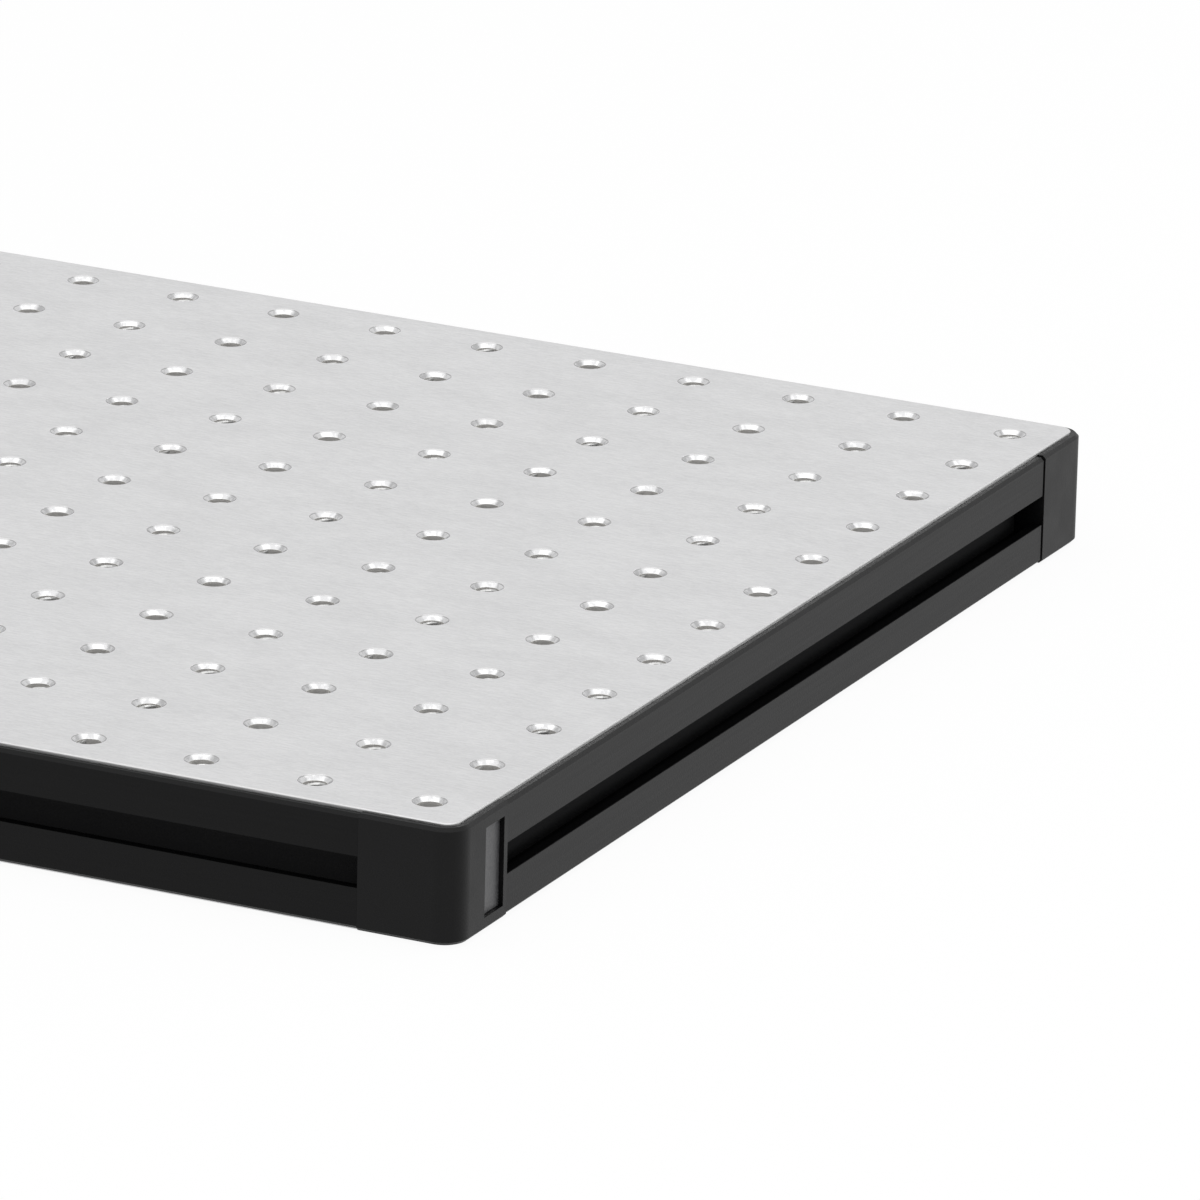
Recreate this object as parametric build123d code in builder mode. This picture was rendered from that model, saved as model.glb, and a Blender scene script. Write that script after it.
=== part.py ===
# Optical breadboard: two aluminium skins bonded over a honeycomb core, closed by black T-slot rails
# and four corner pieces. X runs along the long side, Y along the short side, Z up, millimetres.
# The origin is the middle of the underside.
import os
from math import ceil, sqrt

from build123d import *

# Overall size, over the corner pieces
board_length = 457.2
board_width = 304.8
board_thickness = 25.4

# Grid of tapped holes in the top skin
hole_pitch = 25.4
hole_margin = 12.7
tap_bore = 5.2
hole_mouth = 7.2
hole_chamfer_angle = 90

# Skins
skin_thickness = 4.0
skin_inset = 2.0
skin_corner_radius = 3.0
skin_edge_break = 0.2
skin_gap = 0.1

# Rails
rail_depth = 9.0
rail_setback = 0.15
rail_drop = 0.75
edge_chamfer = 0.7
seam_tight = 0.1
seam_open = 0.75

# T-slot along each rail, for bolts with hexagon heads
slot_mouth = 6.6
slot_lip = 2.2
slot_width = 11.4
slot_depth = 6.5

# Corner pieces
corner_leg = 22.0
corner_radius = 5.5
corner_drop = 0.5
corner_inner_radius = 2.0

# Pegs on the corner pieces, pushed into ports that run along the rails
port_wall = 0.7
peg_play = 0.1
peg_length = 8.0

# Label and its pocket in one corner piece
pocket_height = 18.8
pocket_width = 8.2
pocket_depth = 1.4
pocket_margin = 1.5
label_thickness = 0.4
label_gap = 0.1

# Honeycomb core
cell_size = 25.4
cell_wall = 0.5
cell_sides = 6
core_gap = 0.2

# Sizes that follow from the ones above
middle_height = board_thickness / 2
core_height = board_thickness - 2 * skin_thickness
skin_length = board_length - 2 * skin_inset
skin_width = board_width - 2 * skin_inset
rail_height = board_thickness - 2 * rail_drop
columns = round((board_length - 2 * hole_margin) / hole_pitch) + 1
rows = round((board_width - 2 * hole_margin) / hole_pitch) + 1
quarter_turn = 90

# Sides in order round the board; a corner is named for the two sides that meet at the start of its side
sides = ["front", "right", "back", "left"]
corners = ["front_left", "front_right", "back_right", "back_left"]
label_corner = "front_right"

os.makedirs("parts", exist_ok=True)


def side_sizes(turn):
    """Distance from the middle of the board to a side's outer face, and half that side's length."""
    on_long_side = turn % 2 == 0
    reach = board_width / 2 if on_long_side else board_length / 2
    half_length = board_length / 2 if on_long_side else board_width / 2
    return reach, half_length


def side_plane(turn, along):
    """Plane across a side, at a distance along it: x points into the board, y up, z along the side."""
    reach, _ = side_sizes(turn)
    inward = Vector(0, 1, 0).rotate(Axis.Z, turn * quarter_turn)
    forward = Vector(1, 0, 0).rotate(Axis.Z, turn * quarter_turn)
    origin = forward * along - inward * reach + Vector(0, 0, middle_height)
    return Plane(origin=origin, x_dir=inward, z_dir=forward)


def face_plane(turn, along):
    """Plane on a side's outer face: x runs along the side, y up, z points out of the board."""
    across = side_plane(turn, along)
    return Plane(origin=across.origin, x_dir=across.z_dir, z_dir=-across.x_dir)


def corner_plane(turn):
    """Plane on the floor at the start of a side: x runs along that side and y into the board."""
    _, half_length = side_sizes(turn)
    across = side_plane(turn, -half_length)
    origin = across.origin - Vector(0, 0, middle_height)
    return Plane(origin=origin, x_dir=across.z_dir, z_dir=(0, 0, 1))


def pocket_plane(turn):
    """Plane on the outer face of a corner piece's first leg, at the middle of the label's pocket."""
    _, half_length = side_sizes(turn)
    along = corner_leg - pocket_margin - pocket_width / 2 - half_length
    return face_plane(turn, along)


def port_points():
    """Centres of a rail's two ports, in the solid between the T-slot and each skin."""
    depth = (slot_lip + rail_depth) / 2
    height = (slot_width / 2 + core_height / 2) / 2
    return [(depth, height), (depth, -height)]


def port_diameter():
    """The ports leave a set wall to the T-slot and to the skin."""
    return (core_height - slot_width) / 2 - 2 * port_wall


# Top skin: a plate with rounded corners and the grid of tapped holes, each with a chamfered mouth
with BuildPart() as top_skin:
    with BuildSketch(Plane.XY.offset(board_thickness - skin_thickness)):
        RectangleRounded(skin_length, skin_width, skin_corner_radius)
    extrude(amount=skin_thickness)
    chamfer(top_skin.faces().sort_by(Axis.Z)[-1].edges(), skin_edge_break)
    with Locations(Plane.XY.offset(board_thickness)):
        with GridLocations(hole_pitch, hole_pitch, columns, rows):
            CounterSinkHole(tap_bore / 2, hole_mouth / 2, counter_sink_angle=hole_chamfer_angle)
top_skin.part.label = "top_skin"
export_step(top_skin.part, "parts/top_skin.step")


# Bottom skin: the same plate without holes, its broken edge below
with BuildPart() as bottom_skin:
    with BuildSketch(Plane.XY):
        RectangleRounded(skin_length, skin_width, skin_corner_radius)
    extrude(amount=skin_thickness)
    chamfer(bottom_skin.faces().sort_by(Axis.Z)[0].edges(), skin_edge_break)
bottom_skin.part.label = "bottom_skin"
export_step(bottom_skin.part, "parts/bottom_skin.step")


# Honeycomb core: six-sided cells open to both skins, inside an edge strip as thick as a cell wall
core_length = board_length - 2 * rail_depth - 2 * core_gap
core_width = board_width - 2 * rail_depth - 2 * core_gap
column_step = cell_size * sqrt(3) / 2
cell_columns = ceil(core_length / column_step) + 1
cell_rows = ceil(core_width / cell_size) + 1
with BuildSketch() as cells:
    with HexLocations(cell_size / 2, cell_columns, cell_rows):
        RegularPolygon((cell_size - cell_wall) / 2, cell_sides, major_radius=False)
    RectangleRounded(
        core_length - 2 * cell_wall,
        core_width - 2 * cell_wall,
        corner_inner_radius,
        mode=Mode.INTERSECT,
    )
with BuildPart() as honeycomb_core:
    with BuildSketch(Plane.XY.offset(skin_thickness)):
        RectangleRounded(core_length, core_width, corner_inner_radius + cell_wall)
        add(cells.sketch, mode=Mode.SUBTRACT)
    extrude(amount=core_height)
honeycomb_core.part.label = "honeycomb_core"
export_step(honeycomb_core.part, "parts/honeycomb_core.step")


# Rails: one extruded section on every side, with ledges for the skins, a T-slot and two ports
def make_rail(turn, gap_before, gap_after):
    """A rail between two corner pieces, pushed towards the one with the smaller gap."""
    _, half_length = side_sizes(turn)
    start = corner_leg + gap_before - half_length
    length = 2 * (half_length - corner_leg) - gap_before - gap_after
    lip_end = skin_inset - skin_gap
    with BuildPart() as rail:
        with BuildSketch(side_plane(turn, start)) as section:
            with Locations((rail_setback, 0)):
                Rectangle(rail_depth - rail_setback, rail_height, align=(Align.MIN, Align.CENTER))
            chamfer(section.vertices().group_by(Axis.X)[0], edge_chamfer)
            with Locations((lip_end, core_height / 2)):
                Rectangle(rail_depth, rail_height, align=(Align.MIN, Align.MIN), mode=Mode.SUBTRACT)
            with Locations((lip_end, -core_height / 2)):
                Rectangle(rail_depth, rail_height, align=(Align.MIN, Align.MAX), mode=Mode.SUBTRACT)
            with Locations((rail_setback, 0)):
                Rectangle(slot_depth, slot_mouth, align=(Align.MIN, Align.CENTER), mode=Mode.SUBTRACT)
            with Locations((rail_setback + slot_lip, 0)):
                Rectangle(
                    slot_depth - slot_lip, slot_width, align=(Align.MIN, Align.CENTER), mode=Mode.SUBTRACT
                )
            with Locations(*port_points()):
                Circle(port_diameter() / 2, mode=Mode.SUBTRACT)
        extrude(amount=length)
    return rail.part


for turn, side in enumerate(sides):
    on_long_side = turn % 2 == 0
    seams = (seam_open, seam_tight) if on_long_side else (seam_tight, seam_open)
    rail = make_rail(turn, *seams)
    rail.label = f"rail_{side}"
    export_step(rail, f"parts/rail_{side}.step")


# Corner pieces: moulded angles with a rounded edge, ledges for the skins and pegs for the rails
def make_corner(turn):
    """The corner piece between the side before and the side that starts there."""
    side_before = (turn - 1) % len(sides)
    _, half_length = side_sizes(turn)
    _, half_length_before = side_sizes(side_before)
    peg_radius = port_diameter() / 2 - peg_play
    with BuildPart() as corner:
        with BuildSketch(Plane.XY.offset(corner_drop)):
            RectangleRounded(board_length, board_width, corner_radius)
        extrude(amount=board_thickness - 2 * corner_drop)
        levels = corner.faces().filter_by(Axis.Z)
        chamfer(levels.edges(), edge_chamfer)
        with BuildSketch(corner_plane(turn)) as angle:
            Rectangle(corner_leg, corner_leg, align=(Align.MIN, Align.MIN))
            with Locations((rail_depth, rail_depth)):
                Rectangle(corner_leg, corner_leg, align=(Align.MIN, Align.MIN), mode=Mode.SUBTRACT)
            inner_corner = angle.vertices().sort_by_distance((rail_depth, rail_depth, 0))[0]
            fillet(inner_corner, corner_inner_radius)
        extrude(amount=board_thickness, mode=Mode.INTERSECT)
        with BuildSketch(Plane.XY, Plane.XY.offset(board_thickness - skin_thickness)):
            RectangleRounded(
                skin_length + 2 * skin_gap, skin_width + 2 * skin_gap, skin_corner_radius + skin_gap
            )
        extrude(amount=skin_thickness, mode=Mode.SUBTRACT)
        with BuildSketch(side_plane(turn, corner_leg - half_length)):
            with Locations(*port_points()):
                Circle(peg_radius)
        extrude(amount=peg_length)
        with BuildSketch(side_plane(side_before, half_length_before - corner_leg)):
            with Locations(*port_points()):
                Circle(peg_radius)
        extrude(amount=-peg_length)
        if corners[turn] == label_corner:
            with BuildSketch(pocket_plane(turn)):
                Rectangle(pocket_width, pocket_height)
            extrude(amount=-pocket_depth, mode=Mode.SUBTRACT)
    return corner.part


for turn, corner_name in enumerate(corners):
    corner_piece = make_corner(turn)
    corner_piece.label = f"corner_{corner_name}"
    export_step(corner_piece, f"parts/corner_{corner_name}.step")


# Label plate: bare, on the floor of its pocket
with BuildPart() as label_plate:
    with BuildSketch(pocket_plane(corners.index(label_corner)).offset(-pocket_depth)):
        Rectangle(pocket_width - 2 * label_gap, pocket_height - 2 * label_gap)
    extrude(amount=label_thickness)
label_plate.part.label = "label_plate"
export_step(label_plate.part, "parts/label_plate.step")
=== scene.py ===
import math

import bpy
import numpy as np
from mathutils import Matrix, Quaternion, Vector


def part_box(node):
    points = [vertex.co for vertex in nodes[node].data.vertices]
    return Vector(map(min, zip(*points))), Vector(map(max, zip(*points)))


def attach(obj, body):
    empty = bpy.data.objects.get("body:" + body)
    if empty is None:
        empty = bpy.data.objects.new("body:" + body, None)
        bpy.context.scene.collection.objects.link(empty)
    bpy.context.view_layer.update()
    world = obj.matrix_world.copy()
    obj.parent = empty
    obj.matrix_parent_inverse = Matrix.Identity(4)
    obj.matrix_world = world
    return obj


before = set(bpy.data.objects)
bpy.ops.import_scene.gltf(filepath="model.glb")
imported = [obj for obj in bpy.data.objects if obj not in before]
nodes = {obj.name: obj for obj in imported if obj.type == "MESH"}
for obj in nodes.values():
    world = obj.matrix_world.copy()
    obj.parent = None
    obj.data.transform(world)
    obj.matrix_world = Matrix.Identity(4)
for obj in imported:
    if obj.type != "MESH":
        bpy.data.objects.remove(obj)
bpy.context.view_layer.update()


# Top skin
# An aluminium plate, finely brushed along its length, drilled and tapped on a 25.4 mm grid. Every
# hole's mouth is countersunk after brushing, so it shines where the plate is matt.
skin_low, skin_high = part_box("top_skin")
skin_top = skin_high.z
hole_pitch = 0.0254
mouth_radius = 0.0036
bore_radius = 0.0026
rim_width = 0.0002
mask_margin = 0.00003
bright_skin_colour = (0.69, 0.69, 0.694, 1.0)
dull_skin_colour = (0.57, 0.57, 0.575, 1.0)
bright_cut_colour = (0.63, 0.63, 0.635, 1.0)
dull_cut_colour = (0.45, 0.45, 0.455, 1.0)
# Painted shade: a darker ring on the outer edge of each countersink stands in for the shading of
# its rolled edge.
painted_shade_rim_colour = (0.40, 0.40, 0.40, 1.0)
bore_colour = (0.68, 0.67, 0.65, 1.0)
# Painted shade: the plate's side edges, below its face, are given a darker colour than the face.
painted_shade_edge_colour = (0.48, 0.48, 0.48, 1.0)
hair_density = (330.0, 1500.0, 900.0)
speckle_density = (1500.0, 1500.0, 1500.0)
cloud_density = (60.0, 110.0, 90.0)
chatter_density = (700.0, 700.0, 60.0)
dull_skin_roughness = 0.45
bright_skin_roughness = 0.37
cut_roughness = 0.24
bore_roughness = 0.5
skin_relief = 0.00001


def new_material(name, metallic, roughness=0.5, specular=0.5):
    """A material with one Principled shader. What a material feeds from nodes isn't given here."""
    material = bpy.data.materials.new(name)
    material.use_nodes = True
    shader = material.node_tree.nodes["Principled BSDF"]
    shader.inputs["Metallic"].default_value = metallic
    shader.inputs["Roughness"].default_value = roughness
    shader.inputs["Specular IOR Level"].default_value = specular
    return material, shader


def feed(tree, socket, value):
    """Sets an input to a constant, or joins it to another node's output."""
    if isinstance(value, bpy.types.NodeSocket):
        tree.links.new(value, socket)
    else:
        socket.default_value = value


def math_node(tree, operation, first, second=0.0):
    """One Math node."""
    node = tree.nodes.new("ShaderNodeMath")
    node.operation = operation
    feed(tree, node.inputs[0], first)
    feed(tree, node.inputs[1], second)
    return node.outputs["Value"]


def spread(tree, value, low, high, to_low=0.0, to_high=1.0):
    """Maps a value linearly from low and high to to_low and to_high, and holds it between them."""
    node = tree.nodes.new("ShaderNodeMapRange")
    feed(tree, node.inputs["Value"], value)
    feed(tree, node.inputs["From Min"], low)
    feed(tree, node.inputs["From Max"], high)
    feed(tree, node.inputs["To Min"], to_low)
    feed(tree, node.inputs["To Max"], to_high)
    return node.outputs["Result"]


def blend(tree, mask, first, second, kind="RGBA"):
    """The first colour or value where the mask is 0, and the second where it is 1."""
    node = tree.nodes.new("ShaderNodeMix")
    node.data_type = kind
    socket_type = "VALUE" if kind == "FLOAT" else kind
    feed(tree, node.inputs["Factor"], mask)
    for name, value in (("A", first), ("B", second)):
        feed(tree, next(s for s in node.inputs if s.name == name and s.type == socket_type), value)
    return next(s for s in node.outputs if s.type == socket_type)


def relief(tree, shader, height, distance):
    """Raises and lowers the surface by a height field, for light only."""
    node = tree.nodes.new("ShaderNodeBump")
    node.inputs["Distance"].default_value = distance
    feed(tree, node.inputs["Height"], height)
    feed(tree, shader.inputs["Normal"], node.outputs["Normal"])


grain_detail = 2.0
grain_low = 0.35
grain_high = 0.65


def build_grain_group():
    """Grain: noise on Object coordinates, each axis with its own number of grains to the metre,
    spread from 0 to 1 between two levels."""
    group = bpy.data.node_groups.new("grain", "ShaderNodeTree")
    group.interface.new_socket("Per Metre", in_out="INPUT", socket_type="NodeSocketVector")
    for name, value in (("Detail", grain_detail), ("Low", grain_low), ("High", grain_high)):
        socket = group.interface.new_socket(name, in_out="INPUT", socket_type="NodeSocketFloat")
        socket.default_value = value
    group.interface.new_socket("Grain", in_out="OUTPUT", socket_type="NodeSocketFloat")
    start = group.nodes.new("NodeGroupInput")
    end = group.nodes.new("NodeGroupOutput")
    place = group.nodes.new("ShaderNodeTexCoord")
    mapping = group.nodes.new("ShaderNodeMapping")
    noise = group.nodes.new("ShaderNodeTexNoise")
    noise.inputs["Scale"].default_value = 1.0
    feed(group, mapping.inputs["Vector"], place.outputs["Object"])
    feed(group, mapping.inputs["Scale"], start.outputs["Per Metre"])
    feed(group, noise.inputs["Vector"], mapping.outputs["Vector"])
    feed(group, noise.inputs["Detail"], start.outputs["Detail"])
    level = spread(group, noise.outputs["Fac"], start.outputs["Low"], start.outputs["High"])
    feed(group, end.inputs["Grain"], level)
    return group


grain_group = build_grain_group()


def grain(tree, per_metre, detail=grain_detail, low=grain_low, high=grain_high):
    """The grain group, placed in a material with its own values."""
    node = tree.nodes.new("ShaderNodeGroup")
    node.node_tree = grain_group
    node.inputs["Per Metre"].default_value = per_metre
    node.inputs["Detail"].default_value = detail
    node.inputs["Low"].default_value = low
    node.inputs["High"].default_value = high
    return node.outputs["Grain"]


def mixed(tree, *shares):
    """Several values added up, each times its share."""
    total = 0.0
    for value, share in shares:
        total = math_node(tree, "ADD", math_node(tree, "MULTIPLY", value, share), total)
    return total


def hole_masks(tree):
    """Masks of the countersinks, of their outer rims, of the bores and of all that lies below the
    face. Both coordinates are folded onto one cell of the grid, with a hole in its middle, which
    gives the distance from the hole's axis."""
    place = tree.nodes.new("ShaderNodeTexCoord")
    split = tree.nodes.new("ShaderNodeSeparateXYZ")
    feed(tree, split.inputs["Vector"], place.outputs["Object"])
    squares = []
    for axis in ("X", "Y"):
        from_line = math_node(tree, "PINGPONG", split.outputs[axis], hole_pitch / 2)
        from_hole = math_node(tree, "SUBTRACT", from_line, hole_pitch / 2)
        squares.append(math_node(tree, "MULTIPLY", from_hole, from_hole))
    distance = math_node(tree, "SQRT", math_node(tree, "ADD", *squares))
    below_face = math_node(tree, "LESS_THAN", split.outputs["Z"], skin_top - mask_margin)
    in_mouth = math_node(tree, "LESS_THAN", distance, mouth_radius + mask_margin)
    in_bore = math_node(tree, "LESS_THAN", distance, bore_radius + mask_margin)
    countersunk = math_node(tree, "MULTIPLY", in_mouth, below_face)
    past_flank = math_node(tree, "GREATER_THAN", distance, mouth_radius - rim_width)
    painted_shade_rim_mask = math_node(tree, "MULTIPLY", countersunk, past_flank)
    return countersunk, painted_shade_rim_mask, in_bore, below_face


def brushed_aluminium(name, drilled):
    """Matt brushed aluminium: short hairs along X and a fine speckle over soft clouds. Where it is
    drilled, the countersinks are shinier and chattered by the cutter, and the bores are matt."""
    material, shader = new_material(name, metallic=1.0)
    tree = material.node_tree
    hairs = grain(tree, hair_density, detail=3.0)
    speckle = grain(tree, speckle_density)
    clouds = grain(tree, cloud_density, detail=4.0)
    tone = mixed(tree, (hairs, 0.45), (speckle, 0.25), (clouds, 0.3))
    colour = blend(tree, tone, dull_skin_colour, bright_skin_colour)
    roughness = spread(tree, tone, 0.0, 1.0, dull_skin_roughness, bright_skin_roughness)
    height = mixed(tree, (hairs, 0.7), (speckle, 0.3))
    if drilled:
        countersunk, painted_shade_rim_mask, in_bore, below_face = hole_masks(tree)
        chatter = grain(tree, chatter_density, low=0.4, high=0.6)
        cut_colour = blend(tree, chatter, dull_cut_colour, bright_cut_colour)
        cut_colour = blend(tree, in_bore, cut_colour, bore_colour)
        # Painted shade: everything below the face, that is the plate's side edges, is darkened.
        colour = blend(tree, below_face, colour, painted_shade_edge_colour)
        colour = blend(tree, countersunk, colour, cut_colour)
        # Painted shade: the countersink's outer rim is darkened.
        colour = blend(tree, painted_shade_rim_mask, colour, painted_shade_rim_colour)
        hole_roughness = spread(tree, in_bore, 0.0, 1.0, cut_roughness, bore_roughness)
        roughness = blend(tree, countersunk, roughness, hole_roughness, kind="FLOAT")
        height = blend(tree, countersunk, height, chatter, kind="FLOAT")
    feed(tree, shader.inputs["Base Color"], colour)
    feed(tree, shader.inputs["Roughness"], roughness)
    relief(tree, shader, height, skin_relief)
    return material


def wear(node, material):
    """Gives a CAD node its material."""
    mesh = nodes[node].data
    mesh.materials.clear()
    mesh.materials.append(material)


wear("top_skin", brushed_aluminium("drilled_aluminium", drilled=True))


# Threads
# Each hole is tapped with 20 threads to the inch. The ridge winds down the bore from below the
# countersink, and starts at another angle in every hole, as the tap entered it.
thread_pitch = 0.00127
ridge_height = 0.0003
ridge_foot = 0.0009
ridge_crest = 0.0002
ridge_sink = 0.00003
bright_ridge_colour = (0.58, 0.58, 0.575, 1.0)
dull_ridge_colour = (0.42, 0.42, 0.415, 1.0)
ridge_drop = 0.0006
ridge_start = skin_top - (mouth_radius - bore_radius) - ridge_drop
ridge_turns = 1.5
ridge_steps = 20
ridge_end_share = 1 / 8
cut_line_density = (500.0, 500.0, 9000.0)
cut_line_relief = 0.000005
golden_angle = math.pi * (3 - math.sqrt(5))


def hole_centres():
    """Centres of all holes: the grid is centred on the board, with as many as fit the skin."""
    counts = [round((skin_high[axis] - skin_low[axis]) / hole_pitch) for axis in (0, 1)]
    lines = [(np.arange(count) - (count - 1) / 2) * hole_pitch for count in counts]
    return np.array(np.meshgrid(*lines)).reshape(2, -1).T


def grid_faces(rows, columns):
    """Quads that join each point of a grid to its neighbours in the next row and column."""
    row, column = np.meshgrid(np.arange(rows - 1), np.arange(columns - 1), indexing="ij")
    first = (row * columns + column).ravel()
    return np.stack([first, first + columns, first + columns + 1, first + 1], axis=1)


def ridge_points(centres):
    """A helix in every hole. Along it the angle grows evenly from the hole's own first angle and
    the level falls by one pitch a turn. Across it the profile is a trapezium whose foot is sunk in
    the bore's wall. The ridge rises out of the wall over its first part and sinks back over its
    last."""
    along = np.linspace(0, 1, ridge_steps)[None, :, None]
    first = (np.arange(len(centres)) * golden_angle)[:, None, None]
    angle = first + along * 2 * np.pi * ridge_turns
    across = np.array([ridge_foot, ridge_crest, -ridge_crest, -ridge_foot])[None, None, :] / 2
    inward = np.array([0, 1, 1, 0])[None, None, :] * (ridge_height + ridge_sink) - ridge_sink
    swell = np.clip(np.minimum(along, 1 - along) / ridge_end_share, 0, 1)
    radius = bore_radius - inward * swell - ridge_sink * (swell - 1)
    level = ridge_start - along * ridge_turns * thread_pitch + across + 0 * angle
    x = centres[:, 0, None, None] + radius * np.cos(angle)
    y = centres[:, 1, None, None] + radius * np.sin(angle)
    return np.stack([x, y, level], axis=-1)


def new_piece(name, points, faces, material):
    """A mesh from arrays of points and faces, which rides on the board."""
    mesh = bpy.data.meshes.new(name)
    mesh.from_pydata(points.tolist(), [], faces.tolist())
    mesh.materials.append(material)
    mesh.update()
    piece = bpy.data.objects.new(name, mesh)
    bpy.context.scene.collection.objects.link(piece)
    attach(piece, "root")
    return piece


def cut_aluminium(name):
    """Torn metal as the tap leaves it, with lines along the ridge."""
    material, shader = new_material(name, metallic=1.0, roughness=0.5)
    tree = material.node_tree
    lines = grain(tree, cut_line_density)
    colour = blend(tree, lines, dull_ridge_colour, bright_ridge_colour)
    feed(tree, shader.inputs["Base Color"], colour)
    relief(tree, shader, lines, cut_line_relief)
    return material


ridges = ridge_points(hole_centres())
hole_count, step_count, profile_count = ridges.shape[:3]
one_ridge = grid_faces(step_count, profile_count)
first_point = np.arange(hole_count)[:, None, None] * step_count * profile_count
all_ridges = (one_ridge[None] + first_point).reshape(-1, 4)
ridge_material = cut_aluminium("tapped_aluminium")
new_piece("hole_threads", ridges.reshape(-1, 3), all_ridges, ridge_material)


# Bottom skin
# The same plate without holes, bonded to the underside of the core and rails.
wear("bottom_skin", brushed_aluminium("plain_aluminium", drilled=False))


# Honeycomb core
# Strips of thin aluminium foil, bonded face to face and pulled open into six-sided cells.
dull_foil_colour = (0.56, 0.56, 0.57, 1.0)
bright_foil_colour = (0.68, 0.68, 0.69, 1.0)
foil_roughness = 0.35
mottle_density = (300.0, 300.0, 900.0)
mottle_relief = 0.00005


def aluminium_foil(name):
    """Bare foil with a faint mottle from rolling."""
    material, shader = new_material(name, metallic=1.0, roughness=foil_roughness)
    tree = material.node_tree
    mottle = grain(tree, mottle_density)
    colour = blend(tree, mottle, dull_foil_colour, bright_foil_colour)
    feed(tree, shader.inputs["Base Color"], colour)
    relief(tree, shader, mottle, mottle_relief)
    return material


wear("honeycomb_core", aluminium_foil("core_foil"))


# Side rails
# Extruded aluminium, etched and anodised black. The dye leaves an even satin black with a very fine
# tooth and faint lines along the extrusion. Inside the T-slot the shine is turned down as painted
# shade, and its back wall is painted paler as painted light.
deep_rail_colour = (0.0008, 0.0008, 0.0009, 1.0)
pale_rail_colour = (0.0022, 0.0022, 0.0024, 1.0)
# Painted light: the slot's back wall is painted paler than the rest of the black, where light falls
# on it through the mouth.
painted_light_slot_wall_colour = (0.015, 0.015, 0.0155, 1.0)
rail_shine = 0.15
# Painted shade: less shine inside the slot, so that the recess looks darker.
painted_shade_slot_shine = 0.02
slot_half_height = 0.0058
face_depth = 0.0003
wall_depth = 0.0062
deep_rail_roughness = 0.38
pale_rail_roughness = 0.47
rail_tooth_density = (2600.0, 2600.0, 2600.0)
long_line_density = (25.0, 1500.0, 1500.0)
cross_line_density = (1500.0, 25.0, 1500.0)
rail_relief = 0.00001
middle_height = skin_top / 2


def slot_masks(tree, axis, outer_face):
    """Masks of the T-slot's inside and of its back wall: deeper than the outer face, or as deep as
    the wall, and no further from the board's middle height than half the slot."""
    place = tree.nodes.new("ShaderNodeTexCoord")
    split = tree.nodes.new("ShaderNodeSeparateXYZ")
    feed(tree, split.inputs["Vector"], place.outputs["Object"])
    reach = math_node(tree, "ABSOLUTE", split.outputs[axis])
    above_middle = math_node(tree, "SUBTRACT", split.outputs["Z"], middle_height)
    from_middle = math_node(tree, "ABSOLUTE", above_middle)
    level = math_node(tree, "LESS_THAN", from_middle, slot_half_height)
    inside = math_node(tree, "LESS_THAN", reach, outer_face - face_depth)
    painted_light_wall_mask = math_node(tree, "LESS_THAN", reach, outer_face - wall_depth)
    return [math_node(tree, "MULTIPLY", level, mask) for mask in (inside, painted_light_wall_mask)]


def black_anodising(name, line_density, axis, outer_face):
    """Satin black anodising with a fine tooth and lines along the rail. Inside the T-slot the
    shine is turned down as painted shade, and the back wall is painted paler as painted light."""
    material, shader = new_material(name, metallic=0.0)
    tree = material.node_tree
    tooth = grain(tree, rail_tooth_density)
    lines = grain(tree, line_density, detail=3.0)
    tone = mixed(tree, (tooth, 0.6), (lines, 0.4))
    painted_shade_slot_mask, painted_light_wall_mask = slot_masks(tree, axis, outer_face)
    colour = blend(tree, tone, deep_rail_colour, pale_rail_colour)
    # Painted light on the slot's back wall.
    colour = blend(tree, painted_light_wall_mask, colour, painted_light_slot_wall_colour)
    roughness = spread(tree, tone, 0.0, 1.0, deep_rail_roughness, pale_rail_roughness)
    # Painted shade: the shine is turned down inside the slot.
    shine = spread(tree, painted_shade_slot_mask, 0.0, 1.0, rail_shine, painted_shade_slot_shine)
    feed(tree, shader.inputs["Base Color"], colour)
    feed(tree, shader.inputs["Roughness"], roughness)
    feed(tree, shader.inputs["Specular IOR Level"], shine)
    relief(tree, shader, tooth, rail_relief)
    return material


front_face = -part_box("rail_front")[0].y
right_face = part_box("rail_right")[1].x
long_rail_material = black_anodising(
    "black_anodising_long", long_line_density, "Y", front_face
)
cross_rail_material = black_anodising(
    "black_anodising_cross", cross_line_density, "X", right_face
)
for side in ("front", "back"):
    wear(f"rail_{side}", long_rail_material)
for side in ("left", "right"):
    wear(f"rail_{side}", cross_rail_material)


# Corner pieces
# Black mouldings pushed onto the rails' ends, with a fine matt skin and rounded outer edges.
deep_corner_colour = (0.0010, 0.0010, 0.0011, 1.0)
pale_corner_colour = (0.0026, 0.0026, 0.0028, 1.0)
corner_shine = 0.18
low_corner_roughness = 0.42
high_corner_roughness = 0.5
corner_tooth_density = (3200.0, 3200.0, 3200.0)
corner_cloud_density = (120.0, 120.0, 120.0)
corner_relief = 0.000012


def black_moulding(name):
    """Black moulded skin with a very fine grain and faint clouds."""
    material, shader = new_material(name, metallic=0.0, specular=corner_shine)
    tree = material.node_tree
    tooth = grain(tree, corner_tooth_density)
    clouds = grain(tree, corner_cloud_density, low=0.3, high=0.7)
    tone = mixed(tree, (tooth, 0.6), (clouds, 0.4))
    colour = blend(tree, tone, deep_corner_colour, pale_corner_colour)
    roughness = spread(tree, clouds, 0.0, 1.0, low_corner_roughness, high_corner_roughness)
    feed(tree, shader.inputs["Base Color"], colour)
    feed(tree, shader.inputs["Roughness"], roughness)
    relief(tree, shader, tooth, corner_relief)
    return material


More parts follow.
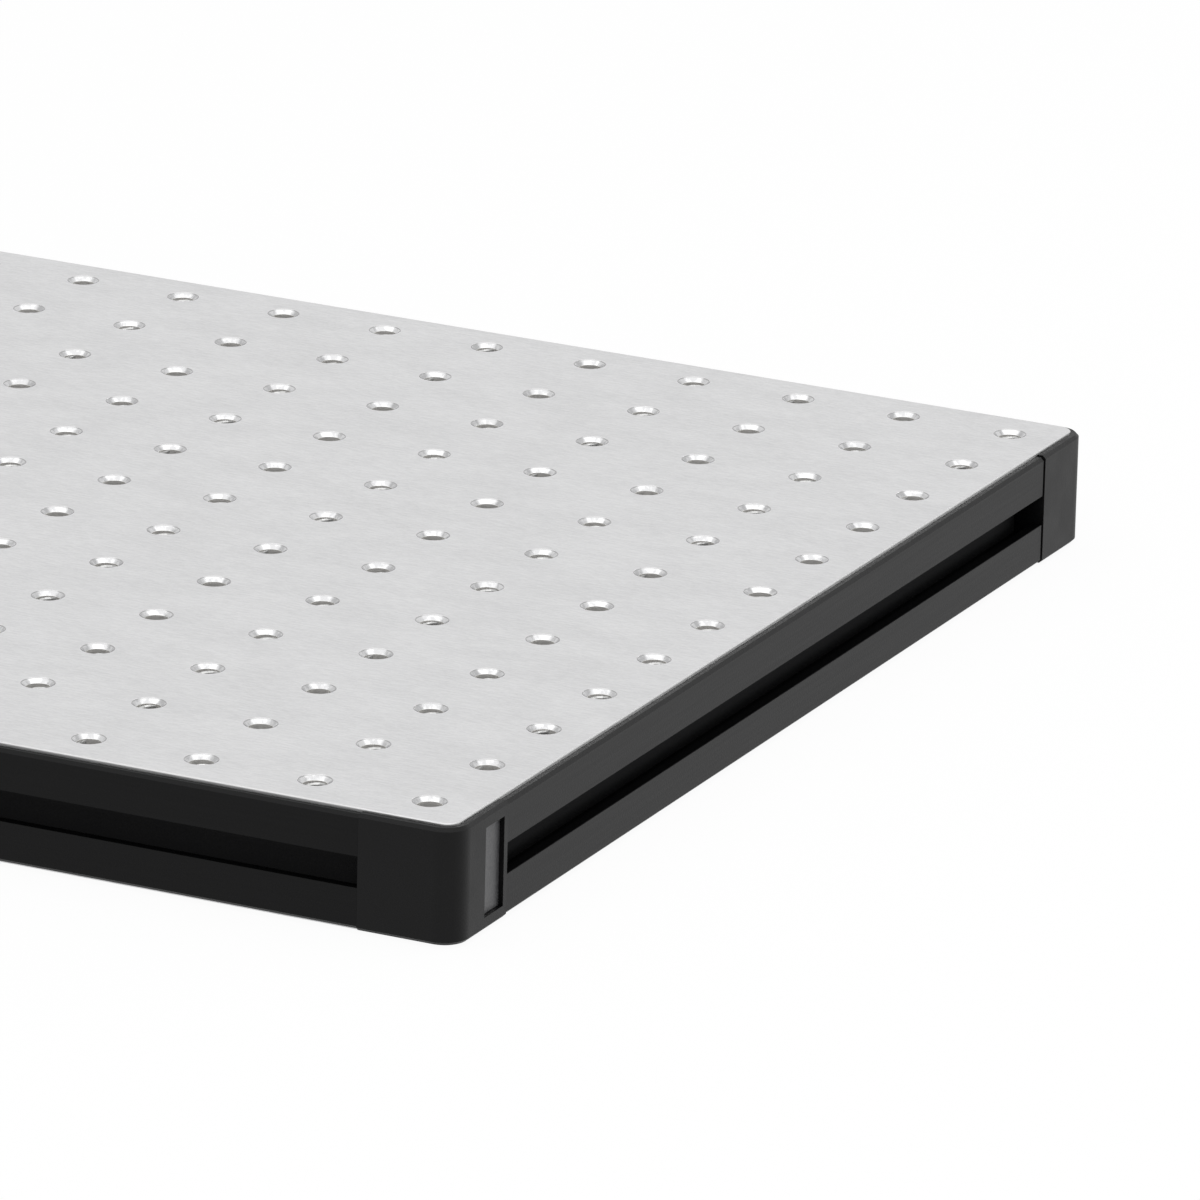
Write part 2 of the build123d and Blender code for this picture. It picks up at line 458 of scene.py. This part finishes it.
corner_material = black_moulding("black_moulding")
for corner in ("front_left", "front_right", "back_right", "back_left"):
    wear(f"corner_{corner}", corner_material)


# Label
# A bare grey plate on the floor of the pocket in the near corner piece, with nothing printed on it.
dark_label_colour = (0.036, 0.036, 0.038, 1.0)
pale_label_colour = (0.056, 0.056, 0.058, 1.0)
label_roughness = 0.4
label_shine = 0.4
label_speckle_density = (1800.0, 1800.0, 1800.0)
label_relief = 0.00001


def label_film(name):
    """Satin grey film with a faint speckle."""
    material, shader = new_material(
        name, metallic=0.0, roughness=label_roughness, specular=label_shine
    )
    tree = material.node_tree
    speckle = grain(tree, label_speckle_density)
    colour = blend(tree, speckle, dark_label_colour, pale_label_colour)
    feed(tree, shader.inputs["Base Color"], colour)
    relief(tree, shader, speckle, label_relief)
    return material


wear("label_plate", label_film("grey_label_film"))


# Floor
# A plain pale floor under the board. It shows white to the camera and keeps part of the board's
# shadow; from below it isn't there, so that the underside can be looked at.
floor_half = 6.0
floor_gap = 0.0002
floor_glow_share = 0.94
floor_colour = (0.9, 0.9, 0.9, 1.0)
floor_corners = np.array([(-1, -1, 0), (1, -1, 0), (1, 1, 0), (-1, 1, 0)]) * floor_half
floor_mesh = bpy.data.meshes.new("floor")
floor_mesh.from_pydata(floor_corners.tolist(), [], [(0, 1, 2, 3)])
floor = bpy.data.objects.new("floor", floor_mesh)
floor.location.z = -floor_gap
bpy.context.scene.collection.objects.link(floor)


def seen_directly(tree):
    """1 for a ray from the camera, a mirror or a glass, and 0 for any other."""
    path = tree.nodes.new("ShaderNodeLightPath")
    seen = math_node(tree, "MAXIMUM", path.outputs["Is Camera Ray"], path.outputs["Is Glossy Ray"])
    return math_node(tree, "MAXIMUM", seen, path.outputs["Is Transmission Ray"])


def either_shader(tree, share, first, second):
    """The first shader where the share is 0 and the second where it is 1."""
    node = tree.nodes.new("ShaderNodeMixShader")
    feed(tree, node.inputs[0], share)
    feed(tree, node.inputs[1], first)
    feed(tree, node.inputs[2], second)
    return node.outputs["Shader"]


def pale_floor(name):
    """Matt white that glows by a share where it is seen directly, and is clear from below."""
    material = bpy.data.materials.new(name)
    material.use_nodes = True
    tree = material.node_tree
    tree.nodes.remove(tree.nodes["Principled BSDF"])
    matt = tree.nodes.new("ShaderNodeBsdfDiffuse")
    matt.inputs["Color"].default_value = floor_colour
    glow = tree.nodes.new("ShaderNodeEmission")
    clear = tree.nodes.new("ShaderNodeBsdfTransparent")
    geometry = tree.nodes.new("ShaderNodeNewGeometry")
    share = math_node(tree, "MULTIPLY", seen_directly(tree), floor_glow_share)
    lit = either_shader(tree, share, matt.outputs["BSDF"], glow.outputs["Emission"])
    whole = either_shader(tree, geometry.outputs["Backfacing"], lit, clear.outputs["BSDF"])
    feed(tree, tree.nodes["Material Output"].inputs["Surface"], whole)
    return material


floor_mesh.materials.append(pale_floor("pale_floor"))


# Light
# An even white room, a wide soft lamp overhead, a smaller one above the camera that lights the
# front T-slot, and a low strip on the right, towards the back. The room shows full white where it
# is seen directly.
room_level = 0.55
room_level_seen = 1.0
world = bpy.data.worlds.new("room")
world.use_nodes = True
room = world.node_tree
room_light = spread(room, seen_directly(room), 0.0, 1.0, room_level, room_level_seen)
room.nodes["Background"].inputs["Color"].default_value = (1.0, 1.0, 1.0, 1.0)
feed(room, room.nodes["Background"].inputs["Strength"], room_light)
bpy.context.scene.world = world


def soft_lamp(name, place, width, height, power):
    """A rectangular area lamp that faces the board's middle, its width level."""
    data = bpy.data.lights.new(name, "AREA")
    data.shape = "RECTANGLE"
    data.size = width
    data.size_y = height
    data.energy = power
    lamp = bpy.data.objects.new(name, data)
    lamp.location = place
    lamp.rotation_mode = "QUATERNION"
    lamp.rotation_quaternion = (-Vector(place)).to_track_quat("-Z", "Y")
    bpy.context.scene.collection.objects.link(lamp)


soft_lamp("overhead_lamp", place=(0.09, -0.18, 2.2), width=3.8, height=1.8, power=21.0)
soft_lamp("front_lamp", place=(0.95, -1.98, 1.7), width=1.6, height=1.0, power=22.0)
soft_lamp("right_lamp", place=(1.2, 0.9, 0.24), width=1.2, height=0.4, power=9.0)


# Camera
# A long lens that looks down a little on the near corner, turned by almost a degree and a half as
# the photo is.
camera_place = (1.19241, -2.10422, 0.78888)
camera_azimuth = math.radians(25.5812)
camera_elevation = math.radians(18.1940)
camera_roll = math.radians(1.4157)
camera_lens = 353.846
camera_data = bpy.data.cameras.new("camera")
camera_data.lens = camera_lens
camera_data.sensor_width = 36.0
camera_data.clip_start = 0.05
camera_data.clip_end = 50.0
camera = bpy.data.objects.new("camera", camera_data)
camera.location = camera_place
camera.rotation_mode = "QUATERNION"
turn = Quaternion((0, 0, 1), camera_azimuth)
tilt = Quaternion((1, 0, 0), math.pi / 2 - camera_elevation)
camera.rotation_quaternion = turn @ tilt @ Quaternion((0, 0, 1), camera_roll)
bpy.context.scene.collection.objects.link(camera)
bpy.context.scene.camera = camera
bpy.context.scene.view_settings.view_transform = "Standard"
